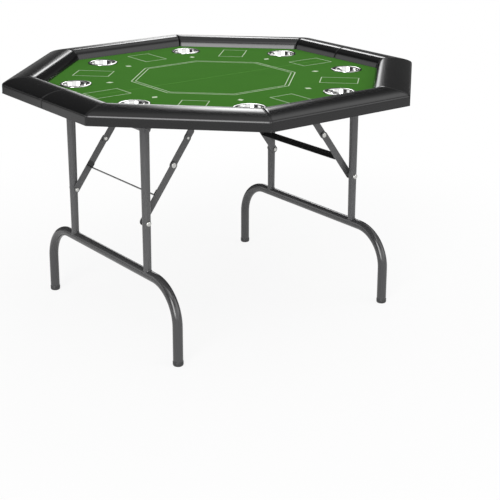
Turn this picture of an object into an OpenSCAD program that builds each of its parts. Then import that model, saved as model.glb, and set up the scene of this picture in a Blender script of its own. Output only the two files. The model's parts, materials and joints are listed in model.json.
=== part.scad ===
// Folding octagonal card table: padded rail, felt top, eight cup holders and
// two folding tube legs with knee braces. Millimetres, +Z up, floor at z = 0.
// The leg frames stand at -x (left) and +x (right), front is -y.

/* [Table top] */
// Width across the flats of the octagon
table_w = 1220; // [900:10:1500]
// Height of the highest line of the padded rail
table_h = 770; // [700:1:800]
// Width of the padded rail, outer wall to felt
rail_w = 114; // [80:1:140]
// How far the rail's crown stands above the felt
crown_h = 32.3; // [20:0.1:45]
// Height of the upright outer wall of the rail
wall_h = 27.2; // [15:0.1:40]
// How far the crown stands above the top of the outer wall
shoulder_h = 20.1; // [10:0.1:30]
// Thickness of the vinyl and foam on the outer wall
skirt_t = 4.2; // [2:0.1:8]
// Thickness of the padded felt
felt_t = 3.3; // [1:0.1:8]
// Thickness of the laminated board
board_t = 28.1; // [15:0.1:40]
// How far the felt and the board run in under the rail
tuck = 9; // [4:0.5:20]

/* [Cup holders] */
// Distance from the rail's inner corner to the middle of the cup holder there
cup_inset = 100.87; // [70:0.01:180]
// Radius of the flange that lies on the felt
flange_r = 49; // [46:0.5:60]
// Inside radius of the cup at its mouth
cup_in_r = 37; // [32:0.5:40]
// Depth of the cup below the felt
cup_depth = 44.7; // [30:0.1:70]
// Sheet thickness of the cup
cup_t = 1.2; // [0.6:0.1:2]
// Extra radius of the holes the cups drop into
cup_clear = 4.3; // [0.2:0.1:7]

/* [Leg frames] */
// Distance from the table's side to the leg frame there
leg_inset = 211; // [150:1:300]
// How far the leg pivots lie below the board
pivot_drop = 30; // [26:1:60]
// Distance from the line of the cup holders to the upright beside it
cup_to_upright = 46.65; // [40:0.05:90]
// Radius of an upright at the foot tube
upright_r = 12.1; // [9:0.1:18]
// Radius of an upright at the pivot
upright_top_r = 14.1; // [9:0.1:18]
// How far an upright runs on above the pivot
upright_over = 13; // [11:0.5:20]
// Wall of every leg tube
tube_wall = 1.5; // [1:0.1:3]
// How far each foot stands outside its upright
foot_out = 154.3; // [135:0.1:230]
// Radius of the foot tube
foot_r = 15; // [10:0.5:20]
// Height of the crossbar's axis
crossbar_z = 234.4; // [150:0.1:350]
// Bend radius of the foot tube
bend_r = 115; // [60:1:160]
// Radius of the pivot tube between the brackets
pivot_tube_r = 11; // [8:0.5:14]

/* [Foot caps] */
// Radius of a foot cap
cap_r = 15.9; // [12:0.1:22]
// Height of a foot cap
cap_h = 15; // [8:0.5:30]
// Thickness of the cap under the tube
cap_floor = 3; // [2:0.5:8]
// Radius of the flat the cap stands on
cap_flat_r = 11; // [6:0.5:16]

/* [Braces] */
// How far the bolt through the upright lies below the leg pivots
bolt_drop = 283; // [230:1:330]
// How far the rivet at the brace bracket lies below the leg pivots
top_rivet_drop = 59; // [30:1:100]
// Distance from the leg frame to the rivet at the brace bracket
top_rivet_in = 164; // [120:1:220]
// Length of the lower link between its holes
lower_len = 186.5; // [120:0.5:220]
// Width of the links
link_w = 23; // [14:0.5:30]
// Thickness of the links
link_t = 2.5; // [1.5:0.1:4]
// Distance from the line of the uprights in to the lower link's inner face
lower_inset = 18.5; // [17:0.5:30]
// Gap between the planes of the two links
link_gap = 2.5; // [1:0.1:6]
// Distance from the bolt to the cross plate, along the lower link
plate_along = 82.7; // [30:0.1:150]
// Width of the cross plate
plate_w = 24; // [12:0.5:40]
// Thickness of the cross plate
plate_t = 2.5; // [1:0.1:4]
// Length of the cross plate's bent ends
tab_len = 20; // [10:1:40]

/* [Brackets] */
// Sheet thickness of all brackets
bracket_t = 2.5; // [1.5:0.1:4]
// Length of a leg bracket's base
leg_base_len = 100; // [60:1:140]
// Width of a leg bracket's base
leg_base_w = 34; // [20:1:50]
// Gap between an upright and the ear beside it
ear_gap = 1.6; // [0.5:0.1:5]
// Length of a brace bracket's base
brace_base_len = 100; // [60:1:140]
// Width of a brace bracket's base
brace_base_w = 40; // [20:1:60]
// Gap between the brace bracket's ear and the upper link
ear_link_gap = 0.5; // [0.2:0.1:2]
// Distance between the two screws of a bracket
screw_pitch = 66; // [30:1:100]

/* [Fasteners] */
// Shank radius of the pivot pins and brace bolts
pin_r = 4; // [2:0.5:6]
// Running clearance on a radius
run_clear = 0.05; // [0.02:0.01:0.1]
// Head radius of the pivot pins and brace bolts
pin_head_r = 8; // [5:0.5:12]
// Head height of the pivot pins and brace bolts
pin_head_h = 4; // [2:0.5:8]
// Radius of the brace bolt's nut
nut_r = 7; // [5:0.5:10]
// Height of the brace bolt's nut
nut_h = 4.5; // [2:0.5:8]
// Head radius of the knee rivets
knee_head_r = 8; // [5:0.5:11]
// Head height of the knee rivets
knee_head_h = 1.7; // [1:0.1:3]
// Shank radius of the knee rivets
knee_r = 3.5; // [2:0.5:5]
// Shank radius of the bracket rivets
rivet_r = 3; // [2:0.5:5]
// Head radius of the bracket rivets
rivet_head_r = 4; // [3:0.5:8]
// Head height of the bracket rivets
rivet_head_h = 1.8; // [1:0.1:2]
// Head radius of the wood screws
screw_head_r = 4.2; // [3:0.1:6]
// Head height of the wood screws
screw_head_h = 2; // [1:0.1:4]
// Shank radius of the wood screws
screw_r = 2; // [1.5:0.1:3]
// Length of the wood screws under the head
screw_len = 18; // [8:1:25]

/* [Clearances] */
// Gap around soft pieces
soft_gap = 0.3; // [0.2:0.1:1]
// Seam between neighbouring soft pieces
seam = 0.6; // [0.2:0.1:2]
// Glued or welded seat
seat = 0.05; // [0.02:0.01:0.2]

/* [Hidden] */
$fn = 64;
half_w = table_w / 2;
turn = 22.5;
inner_r = half_w - rail_w;
felt_z = table_h - crown_h;
felt_bottom = felt_z - felt_t;
board_top = felt_bottom - soft_gap;
board_bottom = board_top - board_t;
leg_x = half_w - leg_inset;
pivot_z = board_bottom - pivot_drop;
bolt_z = pivot_z - bolt_drop;
top_rivet_z = pivot_z - top_rivet_drop;
wall_top = table_h - shoulder_h;
wall_bottom = wall_top - wall_h;
board_r = inner_r + tuck;
frame_in = board_r + 2 * seat;
frame_out = half_w - skirt_t - soft_gap;
cup_ring_r = inner_r / cos(turn) - cup_inset;
// Rounded to a tenth, so that the bent tube's pieces meet exactly
upright_y = round((cup_ring_r * sin(turn) + cup_to_upright) * 10) / 10;
foot_y = round((upright_y + foot_out) * 10) / 10;
lower_y = upright_y - lower_inset;
cup_seat_z = felt_z + soft_gap;
cup_bottom = felt_z - cup_depth;
cup_hole_r = cup_in_r + cup_t + cup_clear;
cup_angles = [for (i = [0 : 7]) turn + 45 * i];
ear_y = upright_y + upright_top_r + ear_gap;
link_dx = top_rivet_in;
link_dz = top_rivet_z - bolt_z;
link_span = sqrt(link_dx * link_dx + link_dz * link_dz);
link_tilt = atan2(link_dz, link_dx);
upper_len = link_span - lower_len;
upper_y = lower_y - link_gap - link_t;
brace_ear_y = upper_y - ear_link_gap - bracket_t;
upright_len = pivot_z - crossbar_z;

// Shared helpers

// Regular octagon with flats on the x and y axes
module octagon(r) {
    rotate(turn) circle(r = r / cos(turn), $fn = 8);
}

// Round bar along +y from y = a to y = b at x, z
module bar_y(x, z, a, b, r) {
    translate([x, a, z]) rotate([-90, 0, 0]) cylinder(h = b - a, r = r);
}

// Holes for the cup holders, as flat shapes
module cup_holes() {
    for (a = cup_angles) rotate(a) translate([cup_ring_r, 0]) circle(r = cup_hole_r);
}

// Runs its children for the left frame, or mirrored for the right one
module frame_side(right) {
    if (right) mirror([1, 0, 0]) children();
    else children();
}

// Runs its children at the front (-y), or mirrored to the back
module brace_side(back) {
    if (back) mirror([0, 1, 0]) children();
    else children();
}

// The table top

module board() {
    color([0.03, 0.03, 0.03]) difference() {
        translate([0, 0, board_bottom]) linear_extrude(board_t) difference() {
            octagon(board_r);
            cup_holes();
        }
        screw_places() translate([0, 0, -1]) cylinder(h = screw_len + 2, r = screw_r + seat);
    }
}

// One half of the felt, in front of or behind the middle seam
module felt_half(back) {
    brace_side(back) color([0.25, 0.49, 0.17])
        translate([0, 0, felt_bottom]) linear_extrude(felt_t) intersection() {
            difference() {
                octagon(board_r - 1);
                cup_holes();
            }
            translate([-half_w, -half_w]) square([table_w, half_w - seam / 2]);
        }
}

module felt_front() { felt_half(false); }
module felt_back() { felt_half(true); }

// Section of the padded rail: x is the distance from the centre, y the height
module pad_section() {
    w = rail_w / 114;
    c = shoulder_h / 20.1;
    d = crown_h / 32.3;
    polygon([
        [half_w, wall_bottom],
        [half_w, wall_top],
        [half_w - 1.5 * w, wall_top + 2.6 * c],
        [half_w - 6 * w, wall_top + 5.6 * c],
        [half_w - 13 * w, wall_top + 8.9 * c],
        [half_w - 22 * w, wall_top + 12.1 * c],
        [half_w - 34 * w, wall_top + 15.3 * c],
        [half_w - 48 * w, wall_top + 18.1 * c],
        [half_w - 62 * w, wall_top + 19.7 * c],
        [half_w - 74 * w, table_h],
        [half_w - 85 * w, table_h - 0.9 * d],
        [half_w - 94 * w, table_h - 4 * d],
        [half_w - 101 * w, table_h - 9.2 * d],
        [half_w - 106 * w, table_h - 16 * d],
        [half_w - 110 * w, table_h - 24 * d],
        [inner_r, felt_z + soft_gap],
        [board_r, felt_z + soft_gap],
        [frame_in + 1.4 - soft_gap, felt_z + 3.6 + soft_gap],
        [frame_in + 15, table_h - 13 * d + soft_gap],
        [half_w - 50 * w, table_h - 13 * d + soft_gap],
        [half_w - 14 * w, wall_top + 2 * c + soft_gap],
        [half_w - skirt_t, wall_top - 3 + soft_gap],
        [half_w - skirt_t, wall_bottom]
    ]);
}

// Section of the wooden rail frame that carries the padding
module frame_section() {
    w = rail_w / 114;
    c = shoulder_h / 20.1;
    d = crown_h / 32.3;
    polygon([
        [frame_in, board_bottom],
        [frame_out, wall_bottom],
        [frame_out, wall_top - 3],
        [half_w - 14 * w, wall_top + 2 * c],
        [half_w - 50 * w, table_h - 13 * d],
        [frame_in + 15, table_h - 13 * d],
        [frame_in + 1.4, felt_z + 3.6],
        [frame_in, felt_z]
    ]);
}

// One mitred side of the octagon, with half the gap taken off each end
module mitred(gap) {
    far = table_w;
    intersection() {
        rotate([90, 0, 0]) translate([0, 0, -half_w]) linear_extrude(table_w) children();
        translate([gap / 2 / sin(turn), 0, 0]) linear_extrude(table_h + 10)
            polygon([[0, 0], [far, -far * tan(turn)], [far, far * tan(turn)]]);
    }
}

// A whole rail pad on side k, counted from +x towards +y
module rail_pad(k) {
    color([0.07, 0.07, 0.07]) rotate(45 * k) mitred(seam) pad_section();
}

// Half a rail pad on side k: the part on the side's left or right hand
module half_pad(k, left) {
    color([0.07, 0.07, 0.07]) rotate(45 * k) intersection() {
        mitred(seam) pad_section();
        translate([0, left ? seam / 2 : -half_w, 0]) cube([table_w, half_w - seam / 2, table_h + 10]);
    }
}

module rail_pad_right_back() { half_pad(0, true); }
module rail_pad_back_right() { rail_pad(1); }
module rail_pad_back() { rail_pad(2); }
module rail_pad_back_left() { rail_pad(3); }
module rail_pad_left_back() { half_pad(4, false); }
module rail_pad_left_front() { half_pad(4, true); }
module rail_pad_front_left() { rail_pad(5); }
module rail_pad_front() { rail_pad(6); }
module rail_pad_front_right() { rail_pad(7); }
module rail_pad_right_front() { half_pad(0, false); }

module rail_frame() {
    color([0.03, 0.03, 0.03]) for (k = [0 : 7]) rotate(45 * k) mitred(2 * seat) frame_section();
}

// One cup holder: rolled flange, slightly tapered wall, rounded bottom
module cup(i) {
    r = cup_in_r;
    b = cup_bottom;
    color([0.8, 0.8, 0.82]) rotate(cup_angles[i]) translate([cup_ring_r, 0, 0])
        rotate_extrude() polygon([
            [0, b],
            [r - 10, b],
            [r - 5.5, b + 1.6],
            [r - 2.6, b + 5.2],
            [r - 1.6, b + 10],
            [r + cup_t, cup_seat_z - 1.2],
            [r + cup_t, cup_seat_z],
            [flange_r - 1, cup_seat_z],
            [flange_r, cup_seat_z + 0.8],
            [flange_r - 1, cup_seat_z + 2],
            [flange_r - 4, cup_seat_z + 2.9],
            [r + 4.5, cup_seat_z + 2.9],
            [r + 1.6, cup_seat_z + 2],
            [r, cup_seat_z],
            [r - 1.6 - cup_t, b + 10.2],
            [r - 2.6 - cup_t, b + 5.9],
            [r - 5.9 - cup_t, b + 2.6],
            [r - 10, b + cup_t],
            [0, b + cup_t]
        ]);
}

module cup_1() { cup(0); }
module cup_2() { cup(1); }
module cup_3() { cup(2); }
module cup_4() { cup(3); }
module cup_5() { cup(4); }
module cup_6() { cup(5); }
module cup_7() { cup(6); }
module cup_8() { cup(7); }

// Brackets and their fasteners

// Where one frame's front brackets take their screws, at the board's underside
module screw_spots() {
    for (dx = [-screw_pitch / 2, screw_pitch / 2]) {
        translate([-leg_x + dx, -(ear_y + leg_base_w / 2 + bracket_t / 2), board_bottom]) children();
        translate([-leg_x + top_rivet_in + dx, -(brace_ear_y + bracket_t / 2 - brace_base_w / 2),
            board_bottom]) children();
    }
}

// All sixteen screw places
module screw_places() {
    for (right = [false, true])
        for (back = [false, true])
            frame_side(right) brace_side(back) screw_spots() children();
}

// Flat plate standing in the x-z plane, its outer face at y = -(y0 + t)
module upright_plate(y0, t) {
    translate([0, -y0, 0]) rotate([90, 0, 0]) linear_extrude(t) children();
}

// Leg bracket of the left frame's front corner
module leg_bracket() {
    e = pin_head_r + 2;
    color([0.05, 0.05, 0.05]) difference() {
        union() {
            upright_plate(ear_y, bracket_t) translate([-leg_x, 0]) union() {
                translate([0, pivot_z]) circle(r = e);
                polygon([
                    [-e, pivot_z],
                    [e, pivot_z],
                    [e + 14, pivot_z + 8],
                    [leg_base_len / 2, board_bottom],
                    [-leg_base_len / 2, board_bottom],
                    [-e - 4, pivot_z + 8]
                ]);
            }
            translate([-leg_x - leg_base_len / 2, -(ear_y + leg_base_w), board_bottom - bracket_t])
                cube([leg_base_len, leg_base_w, bracket_t]);
        }
        bar_y(-leg_x, pivot_z, -(ear_y + bracket_t + 1), -(ear_y - 1), pin_r + run_clear);
        screw_spots() translate([0, 0, -bracket_t - 1]) cylinder(h = bracket_t + 2, r = screw_r + 0.2);
    }
}

module leg_bracket_left_front() { leg_bracket(); }
module leg_bracket_left_back() { brace_side(true) leg_bracket(); }
module leg_bracket_right_front() { frame_side(true) leg_bracket(); }
module leg_bracket_right_back() { frame_side(true) brace_side(true) leg_bracket(); }

// Brace bracket of the left frame's front corner; its ear runs on in line with the open link
module brace_bracket() {
    r = link_w / 2;
    sn = sin(link_tilt);
    cs = cos(link_tilt);
    color([0.05, 0.05, 0.05]) difference() {
        union() {
            upright_plate(brace_ear_y, bracket_t) translate([-leg_x + top_rivet_in, 0]) union() {
                translate([0, top_rivet_z]) circle(r = r);
                polygon([
                    [r * sn, top_rivet_z - r * cs],
                    [r * sn + 26 * cs, top_rivet_z - r * cs + 26 * sn],
                    [r * sn + 26 * cs, board_bottom],
                    [-24, board_bottom],
                    [-r * sn + 40 * cs, top_rivet_z + r * cs + 40 * sn],
                    [-r * sn, top_rivet_z + r * cs]
                ]);
            }
            translate([-leg_x + top_rivet_in - brace_base_len / 2, -(brace_ear_y + bracket_t),
                board_bottom - bracket_t])
                cube([brace_base_len, brace_base_w, bracket_t]);
        }
        bar_y(-leg_x + top_rivet_in, top_rivet_z, -(brace_ear_y + bracket_t + 1),
            -(brace_ear_y - 1), rivet_r + seat);
        screw_spots() translate([0, 0, -bracket_t - 1]) cylinder(h = bracket_t + 2, r = screw_r + 0.2);
    }
}

module brace_bracket_left_front() { brace_bracket(); }
module brace_bracket_left_back() { brace_side(true) brace_bracket(); }
module brace_bracket_right_front() { frame_side(true) brace_bracket(); }
module brace_bracket_right_back() { frame_side(true) brace_side(true) brace_bracket(); }

// Rivets that hold the upper links to the brace brackets
module bracket_rivets() {
    x = -leg_x + top_rivet_in;
    out = upper_y + link_t + run_clear;
    color([0.75, 0.75, 0.76]) for (right = [false, true]) for (back = [false, true])
        frame_side(right) brace_side(back) union() {
            bar_y(x, top_rivet_z, -(out + 0.1), -(brace_ear_y - 0.1), rivet_r);
            bar_y(x, top_rivet_z, -(out + rivet_head_h), -out, rivet_head_r);
            bar_y(x, top_rivet_z, -brace_ear_y, -(brace_ear_y - rivet_head_h), rivet_head_r);
        }
}

// Wood screws of all brackets
module bracket_screws() {
    color([0.75, 0.75, 0.76]) screw_places() union() {
        translate([0, 0, -bracket_t - screw_head_h]) cylinder(h = screw_head_h, r = screw_head_r);
        translate([0, 0, -bracket_t - 0.1]) cylinder(h = screw_len + 0.1, r = screw_r);
    }
}

// Leg frames, modelled on the left and mirrored

module pivot_tube() {
    color([0.2, 0.2, 0.2]) difference() {
        bar_y(-leg_x, pivot_z, -(ear_y - 0.5), ear_y - 0.5, pivot_tube_r);
        bar_y(-leg_x, pivot_z, -ear_y, ear_y, pivot_tube_r - tube_wall);
    }
}

module pivot_tube_left() { pivot_tube(); }
module pivot_tube_right() { frame_side(true) pivot_tube(); }

// Front upright: welded on the crossbar, slightly wider towards the pivot tube
module upright() {
    w = tube_wall;
    color([0.2, 0.2, 0.2]) difference() {
        translate([-leg_x, -upright_y, crossbar_z]) union() {
            cylinder(h = upright_len, r1 = upright_r, r2 = upright_top_r);
            translate([0, 0, upright_len]) cylinder(h = upright_over, r = upright_top_r);
        }
        translate([-leg_x, -upright_y, crossbar_z - 0.01])
            cylinder(h = upright_len, r1 = upright_r - w, r2 = upright_top_r - w);
        bar_y(-leg_x, crossbar_z, -upright_y - 30, -upright_y + 30, foot_r + seat);
        bar_y(-leg_x, pivot_z, -upright_y - 30, -upright_y + 30, pivot_tube_r + seat);
        bar_y(-leg_x, bolt_z, -upright_y - 30, -upright_y + 30, pin_r + seat);
    }
}

module upright_left_front() { upright(); }
module upright_left_back() { brace_side(true) upright(); }
module upright_right_front() { frame_side(true) upright(); }
module upright_right_back() { frame_side(true) brace_side(true) upright(); }

// Path of the foot tube as a solid bar of radius r, its ends at height z0
module foot_bar(r, z0) {
    run = foot_y - bend_r;
    drop = crossbar_z - bend_r;
    bar_y(-leg_x, crossbar_z, -run, run, r);
    for (s = [-1, 1]) {
        translate([-leg_x, s * run, drop]) rotate([0, 0, 90]) rotate([90, 0, 0])
            mirror([s < 0 ? 1 : 0, 0, 0])
                rotate_extrude(angle = 90) translate([bend_r, 0]) circle(r = r);
        translate([-leg_x, s * foot_y, z0]) cylinder(h = drop - z0, r = r);
    }
}

module foot_tube() {
    color([0.2, 0.2, 0.2]) difference() {
        foot_bar(foot_r, cap_floor + seat);
        foot_bar(foot_r - tube_wall, cap_floor - 1);
    }
}

module foot_tube_left() { foot_tube(); }
module foot_tube_right() { frame_side(true) foot_tube(); }

// End caps: a flat to stand on, rounded below, pushed over the tube ends
module foot_caps() {
    color([0.04, 0.04, 0.04]) for (s = [-1, 1]) translate([-leg_x, s * foot_y, 0])
        rotate_extrude() polygon([
            [0, 0],
            [cap_flat_r, 0],
            [cap_flat_r + 2.6, 0.9],
            [cap_r - 0.5, 3],
            [cap_r, 5.4],
            [cap_r, cap_h],
            [foot_r + seat, cap_h],
            [foot_r + seat, cap_floor],
            [0, cap_floor]
        ]);
}

module foot_caps_left() { foot_caps(); }
module foot_caps_right() { frame_side(true) foot_caps(); }

// Stepped pins: a plug in the pivot tube, a shank in the ear, a head outside
module pivot_pins() {
    out = ear_y + bracket_t + run_clear;
    color([0.75, 0.75, 0.76]) for (back = [false, true]) brace_side(back) union() {
        bar_y(-leg_x, pivot_z, -(ear_y - 0.3), -(ear_y - 12), pivot_tube_r - tube_wall - seat);
        bar_y(-leg_x, pivot_z, -(out + 0.1), -(ear_y - 1), pin_r);
        bar_y(-leg_x, pivot_z, -(out + pin_head_h / 2), -out, pin_head_r);
        bar_y(-leg_x, pivot_z, -(out + pin_head_h), -(out + pin_head_h / 2 - 0.1), pin_head_r - 2);
    }
}

module pivot_pins_left() { pivot_pins(); }
module pivot_pins_right() { frame_side(true) pivot_pins(); }

// Bolts through the uprights that carry the lower links
module brace_bolts() {
    s = (bolt_z - crossbar_z) / upright_len;
    wall = upright_r + (upright_top_r - upright_r) * s;
    inside = upright_y - wall - seat;
    outside = upright_y + wall + seat;
    link_out = lower_y + link_t + run_clear;
    link_in = lower_y - run_clear;
    color([0.75, 0.75, 0.76]) for (back = [false, true]) brace_side(back) union() {
        bar_y(-leg_x, bolt_z, -(outside + 0.1), -(link_in - 0.1), pin_r);
        bar_y(-leg_x, bolt_z, -inside, -link_out, nut_r);
        bar_y(-leg_x, bolt_z, -link_in, -(link_in - nut_h), nut_r);
        bar_y(-leg_x, bolt_z, -(outside + pin_head_h / 2), -outside, pin_head_r);
        bar_y(-leg_x, bolt_z, -(outside + pin_head_h), -(outside + pin_head_h / 2 - 0.1),
            pin_head_r - 2.5);
    }
}

module brace_bolts_left() { brace_bolts(); }
module brace_bolts_right() { frame_side(true) brace_bolts(); }

// Braces, modelled on the left front and mirrored

// Places children on the brace line, with +x along the link from the bolt
module on_brace(along) {
    translate([-leg_x, 0, bolt_z]) rotate([0, -link_tilt, 0]) translate([along, 0, 0]) children();
}

// Flat link with round ends from a to b; a hole radius of 0 leaves that end whole
module link(a, b, y0, hole_a, hole_b) {
    on_brace(0) upright_plate(y0, link_t) difference() {
        union() {
            translate([a, -link_w / 2]) square([b - a, link_w]);
            translate([a, 0]) circle(r = link_w / 2);
            translate([b, 0]) circle(r = link_w / 2);
        }
        if (hole_a > 0) translate([a, 0]) circle(r = hole_a);
        if (hole_b > 0) translate([b, 0]) circle(r = hole_b);
    }
}

module lower_link() {
    color([0.2, 0.2, 0.2]) link(0, lower_len, lower_y, pin_r + run_clear, knee_r + seat);
}

module lower_link_left_front() { lower_link(); }
module lower_link_left_back() { brace_side(true) lower_link(); }
module lower_link_right_front() { frame_side(true) lower_link(); }
module lower_link_right_back() { frame_side(true) brace_side(true) lower_link(); }

// Knee rivets: the head outside the lower link and a collar towards the upper link
module knee_rivets() {
    color([0.75, 0.75, 0.76]) for (back = [false, true]) brace_side(back) on_brace(lower_len) union() {
        bar_y(0, 0, -(lower_y + link_t + 0.1), -(lower_y - 0.1), knee_r);
        bar_y(0, 0, -(lower_y + link_t + knee_head_h), -(lower_y + link_t), knee_head_r);
        bar_y(0, 0, -lower_y, -(lower_y - link_gap + 0.3), knee_r + 2);
    }
}

module knee_rivets_left() { knee_rivets(); }
module knee_rivets_right() { frame_side(true) knee_rivets(); }

// Flat bar across the two lower links, with its ends bent along them
module cross_plate() {
    tab_t = plate_t - 0.25;
    reach = lower_y - seat;
    color([0.2, 0.2, 0.2]) on_brace(plate_along) union() {
        translate([-plate_t / 2, -reach, -plate_w / 2]) cube([plate_t, 2 * reach, plate_w]);
        for (s = [0, 1]) mirror([0, s, 0])
            translate([-plate_t / 2, -reach, -link_w / 2 + 1])
                cube([tab_len, tab_t, link_w - 2]);
    }
}

module cross_plate_left() { cross_plate(); }
module cross_plate_right() { frame_side(true) cross_plate(); }

// Upper link with the knee stud that is pressed out of it
module upper_link() {
    color([0.2, 0.2, 0.2]) union() {
        link(lower_len, link_span, upper_y, 0, rivet_r + run_clear);
        on_brace(lower_len) bar_y(0, 0, -(upper_y + link_t), -(upper_y - knee_head_h), knee_head_r - 2);
    }
}

module upper_link_left_front() { upper_link(); }
module upper_link_left_back() { brace_side(true) upper_link(); }
module upper_link_right_front() { frame_side(true) upper_link(); }
module upper_link_right_back() { frame_side(true) brace_side(true) upper_link(); }

// What is drawn
board();
felt_front();
felt_back();
rail_frame();
rail_pad_right_back();
rail_pad_back_right();
rail_pad_back();
rail_pad_back_left();
rail_pad_left_back();
rail_pad_left_front();
rail_pad_front_left();
rail_pad_front();
rail_pad_front_right();
rail_pad_right_front();
cup_1();
cup_2();
cup_3();
cup_4();
cup_5();
cup_6();
cup_7();
cup_8();
leg_bracket_left_front();
leg_bracket_left_back();
leg_bracket_right_front();
leg_bracket_right_back();
brace_bracket_left_front();
brace_bracket_left_back();
brace_bracket_right_front();
brace_bracket_right_back();
bracket_rivets();
bracket_screws();
pivot_tube_left();
upright_left_front();
upright_left_back();
foot_tube_left();
foot_caps_left();
pivot_pins_left();
brace_bolts_left();
pivot_tube_right();
upright_right_front();
upright_right_back();
foot_tube_right();
foot_caps_right();
pivot_pins_right();
brace_bolts_right();
lower_link_left_front();
lower_link_left_back();
cross_plate_left();
knee_rivets_left();
lower_link_right_front();
lower_link_right_back();
cross_plate_right();
knee_rivets_right();
upper_link_left_front();
upper_link_left_back();
upper_link_right_front();
upper_link_right_back();
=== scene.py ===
# %% [markdown]
# # A folding eight-seat card table
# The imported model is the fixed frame: it says where every tube, plate and pad is, in metres, with
# the floor at z = 0 and the front of the table at -y. This script gives each piece its real
# surface. Pieces are modelled the way a person would at the desk: start from a primitive, shape
# it in edit mode, finish it with modifiers.

# %% Load the frame and keep its box
import json
import math

import bmesh
import bpy
from mathutils import Matrix, Vector


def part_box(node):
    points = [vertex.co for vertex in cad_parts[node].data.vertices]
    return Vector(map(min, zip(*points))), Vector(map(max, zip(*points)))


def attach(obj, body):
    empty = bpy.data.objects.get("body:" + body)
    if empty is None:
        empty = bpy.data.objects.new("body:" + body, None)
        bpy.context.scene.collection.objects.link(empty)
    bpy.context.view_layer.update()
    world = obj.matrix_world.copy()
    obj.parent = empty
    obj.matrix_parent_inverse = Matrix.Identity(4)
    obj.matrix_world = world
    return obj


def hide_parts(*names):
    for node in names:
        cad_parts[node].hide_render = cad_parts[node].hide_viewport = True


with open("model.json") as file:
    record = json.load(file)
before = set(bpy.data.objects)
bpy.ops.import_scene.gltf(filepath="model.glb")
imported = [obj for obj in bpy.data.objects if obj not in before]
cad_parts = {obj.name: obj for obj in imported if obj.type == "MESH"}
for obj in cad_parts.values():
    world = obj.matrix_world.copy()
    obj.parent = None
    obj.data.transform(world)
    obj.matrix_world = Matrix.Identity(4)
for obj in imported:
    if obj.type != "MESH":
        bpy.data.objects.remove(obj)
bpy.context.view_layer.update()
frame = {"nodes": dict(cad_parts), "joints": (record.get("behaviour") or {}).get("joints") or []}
nodes = frame["nodes"]
MM = 0.001

# %% [markdown]
# ## The camera
# The photograph was taken from a little above the table's edge, off its front left corner. The
# long lens keeps the eight sides calm. The small shift only centres the table in the frame.

# %% Camera
EYE = Vector((-2.1986, -3.0673, 1.5380))
YAW, PITCH, ROLL = (math.radians(v) for v in (35.751, 16.558, -0.324))
PICTURE_PX, FOCAL_PX, SENSOR_MM = 500, 1225.41, 36
ahead = Vector((math.sin(YAW) * math.cos(PITCH), math.cos(YAW) * math.cos(PITCH), -math.sin(PITCH)))
across = Vector((math.cos(YAW), -math.sin(YAW), 0))
above = across.cross(ahead)
right = across * math.cos(ROLL) + above * math.sin(ROLL)
upward = above * math.cos(ROLL) - across * math.sin(ROLL)
camera = bpy.data.objects.new("camera", bpy.data.cameras.new("camera"))
bpy.context.scene.collection.objects.link(camera)
camera.matrix_world = Matrix.Translation(EYE) @ Matrix((right, upward, -ahead)).transposed().to_4x4()
camera.data.sensor_width = SENSOR_MM
camera.data.lens = FOCAL_PX / PICTURE_PX * SENSOR_MM
camera.data.shift_x, camera.data.shift_y = 0.065, -0.15
bpy.context.scene.camera = camera
print("camera at", [round(v, 3) for v in EYE], "lens", round(camera.data.lens, 1), "mm")

# %% [markdown]
# ## Two habits for every finish
# Colours are picked as sRGB hex values, as in any paint program, but shaders work in linear
# light, so one function converts them. Node trees get long when each node is written out, so one
# function adds a node with its settings and its inputs. An input is a number, a colour, or the
# node whose result it takes.

# %% Colour and node helpers
def shade(code):
    """Linear RGBA of an sRGB hex colour."""
    parts = [int(code[i:i + 2], 16) / 255 for i in (0, 2, 4)]
    return tuple(p / 12.92 if p <= 0.04045 else ((p + 0.055) / 1.055) ** 2.4 for p in parts) + (1,)


def fill(node, *ordered, **named):
    """Give a node its inputs, in order or by name: a node or socket is linked, anything else is set."""
    for key, value in [*enumerate(ordered), *named.items()]:
        socket = node.inputs[key.replace("_", " ") if isinstance(key, str) else key]
        if isinstance(value, bpy.types.Node):
            value = value.outputs[0]
        if isinstance(value, bpy.types.NodeSocket):
            node.id_data.links.new(value, socket)
        else:
            socket.default_value = value
    return node


def add(tree, kind, *ordered, **named):
    """Add a node. Names that start with a capital are its inputs, the others its settings."""
    node = tree.nodes.new("ShaderNode" + kind)
    for setting in [name for name in named if name[0].islower()]:
        setattr(node, setting, named.pop(setting))
    return fill(node, *ordered, **named)


def gap(tree, value, centre):
    """How far a value is from a centre, on either side of it."""
    return add(tree, "Math", add(tree, "Math", value, centre, operation="SUBTRACT"), operation="ABSOLUTE")


print("mid grey 808080 is", round(shade("808080")[0], 3), "in linear light")

# %% [markdown]
# ## Light
# A packshot studio, read back from the shine on the photographed rail. The walls are dark grey,
# paler at the horizon and overhead, and soft boxes with fading edges stand round the table: a key
# light beside the camera, a narrow rim light straight across the table with a weak foot under it,
# weaker panels in front, on the right, on the left and high up, and the wall behind the camera.
# The rim light draws the bright line along the crest of the dark vinyl, the key light the line
# where its slope turns down into the wall. Hard-edged lamps would draw hard stripes there, so the
# boxes are painted on the world by azimuth and elevation. Their sum is a plain level: a colour
# renders about as it is written.

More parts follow.
